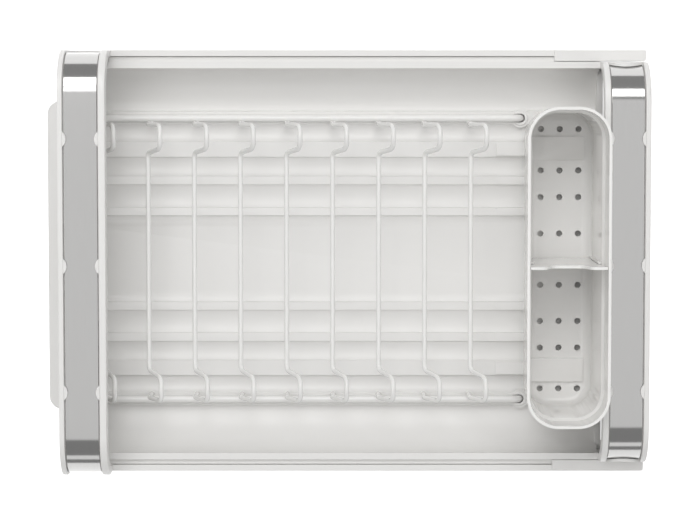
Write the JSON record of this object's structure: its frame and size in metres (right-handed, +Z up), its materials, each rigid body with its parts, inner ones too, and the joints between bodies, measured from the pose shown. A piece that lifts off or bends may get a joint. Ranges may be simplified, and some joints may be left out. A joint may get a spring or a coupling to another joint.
{
  "type": "dish drying rack",
  "caption": "Expanding white dish drying rack: telescoping trays with arched steel-banded ends, a lift-out wire plate rack, a drip tray and a cutlery caddy with a divider.",
  "frame": {"origin": "centre of the footprint, on the surface that the rack stands on", "axes": "+X the way the inner tray pulls out, +Y to the back, +Z up"},
  "size_m": [0.4882, 0.34, 0.153],
  "materials": {
    "white_plastic": "moulded white plastic, fine satin gloss",
    "caddy_plastic": "moulded white plastic, high gloss",
    "coated_wire": "steel wire with a smooth white dipped coat",
    "satin_steel": "stainless strip, fine satin grain along its length",
    "foot_rubber": "grey soft rubber",
    "soft_white": "matt soft white plastic"
  },
  "bodies": {
    "outer": {"outer_tray": "white_plastic", "left_end_frame": "white_plastic", "left_steel_band": "satin_steel", "slide_guide_back": "white_plastic", "slide_guide_front": "white_plastic", "outer_tray_feet": "foot_rubber"},
    "inner": {"inner_tray": "white_plastic", "right_end_frame": "white_plastic", "right_steel_band": "satin_steel", "rack_grommets": "soft_white", "inner_tray_feet": "foot_rubber"},
    "drip": {"drip_tray": "white_plastic"},
    "plate_rack": {"rack_rod_back": "coated_wire", "rack_rod_front": "coated_wire", "rack_wire_1": "coated_wire", "rack_wire_2": "coated_wire", "rack_wire_3": "coated_wire", "rack_wire_4": "coated_wire", "rack_wire_5": "coated_wire", "rack_wire_6": "coated_wire", "rack_wire_7": "coated_wire", "rack_wire_8": "coated_wire", "rack_wire_9": "coated_wire"},
    "caddy": {"cutlery_caddy": "caddy_plastic"},
    "divider": {"caddy_divider": "caddy_plastic"}
  },
  "joints": [
    {"name": "inner_tray_slide", "type": "slide", "parent": "outer", "child": "inner", "axis": [1, 0, 0], "range_m": [0, 0.16]},
    {"name": "drip_tray_slide", "type": "slide", "parent": "outer", "child": "drip", "axis": [-1, 0, 0], "range_m": [0, 0.17]},
    {"name": "rack_tilt", "type": "hinge", "parent": "inner", "child": "plate_rack", "pos_m": [-0.2091, 0, 0.0492], "axis": [0, -1, 0], "range_deg": [0, 20]},
    {"name": "caddy_lift", "type": "slide", "parent": "inner", "child": "caddy", "axis": [0, 0, 1], "range_m": [0, 0.12]},
    {"name": "divider_lift", "type": "slide", "parent": "caddy", "child": "divider", "axis": [0, 0, 1], "range_m": [0, 0.09]}
  ]
}
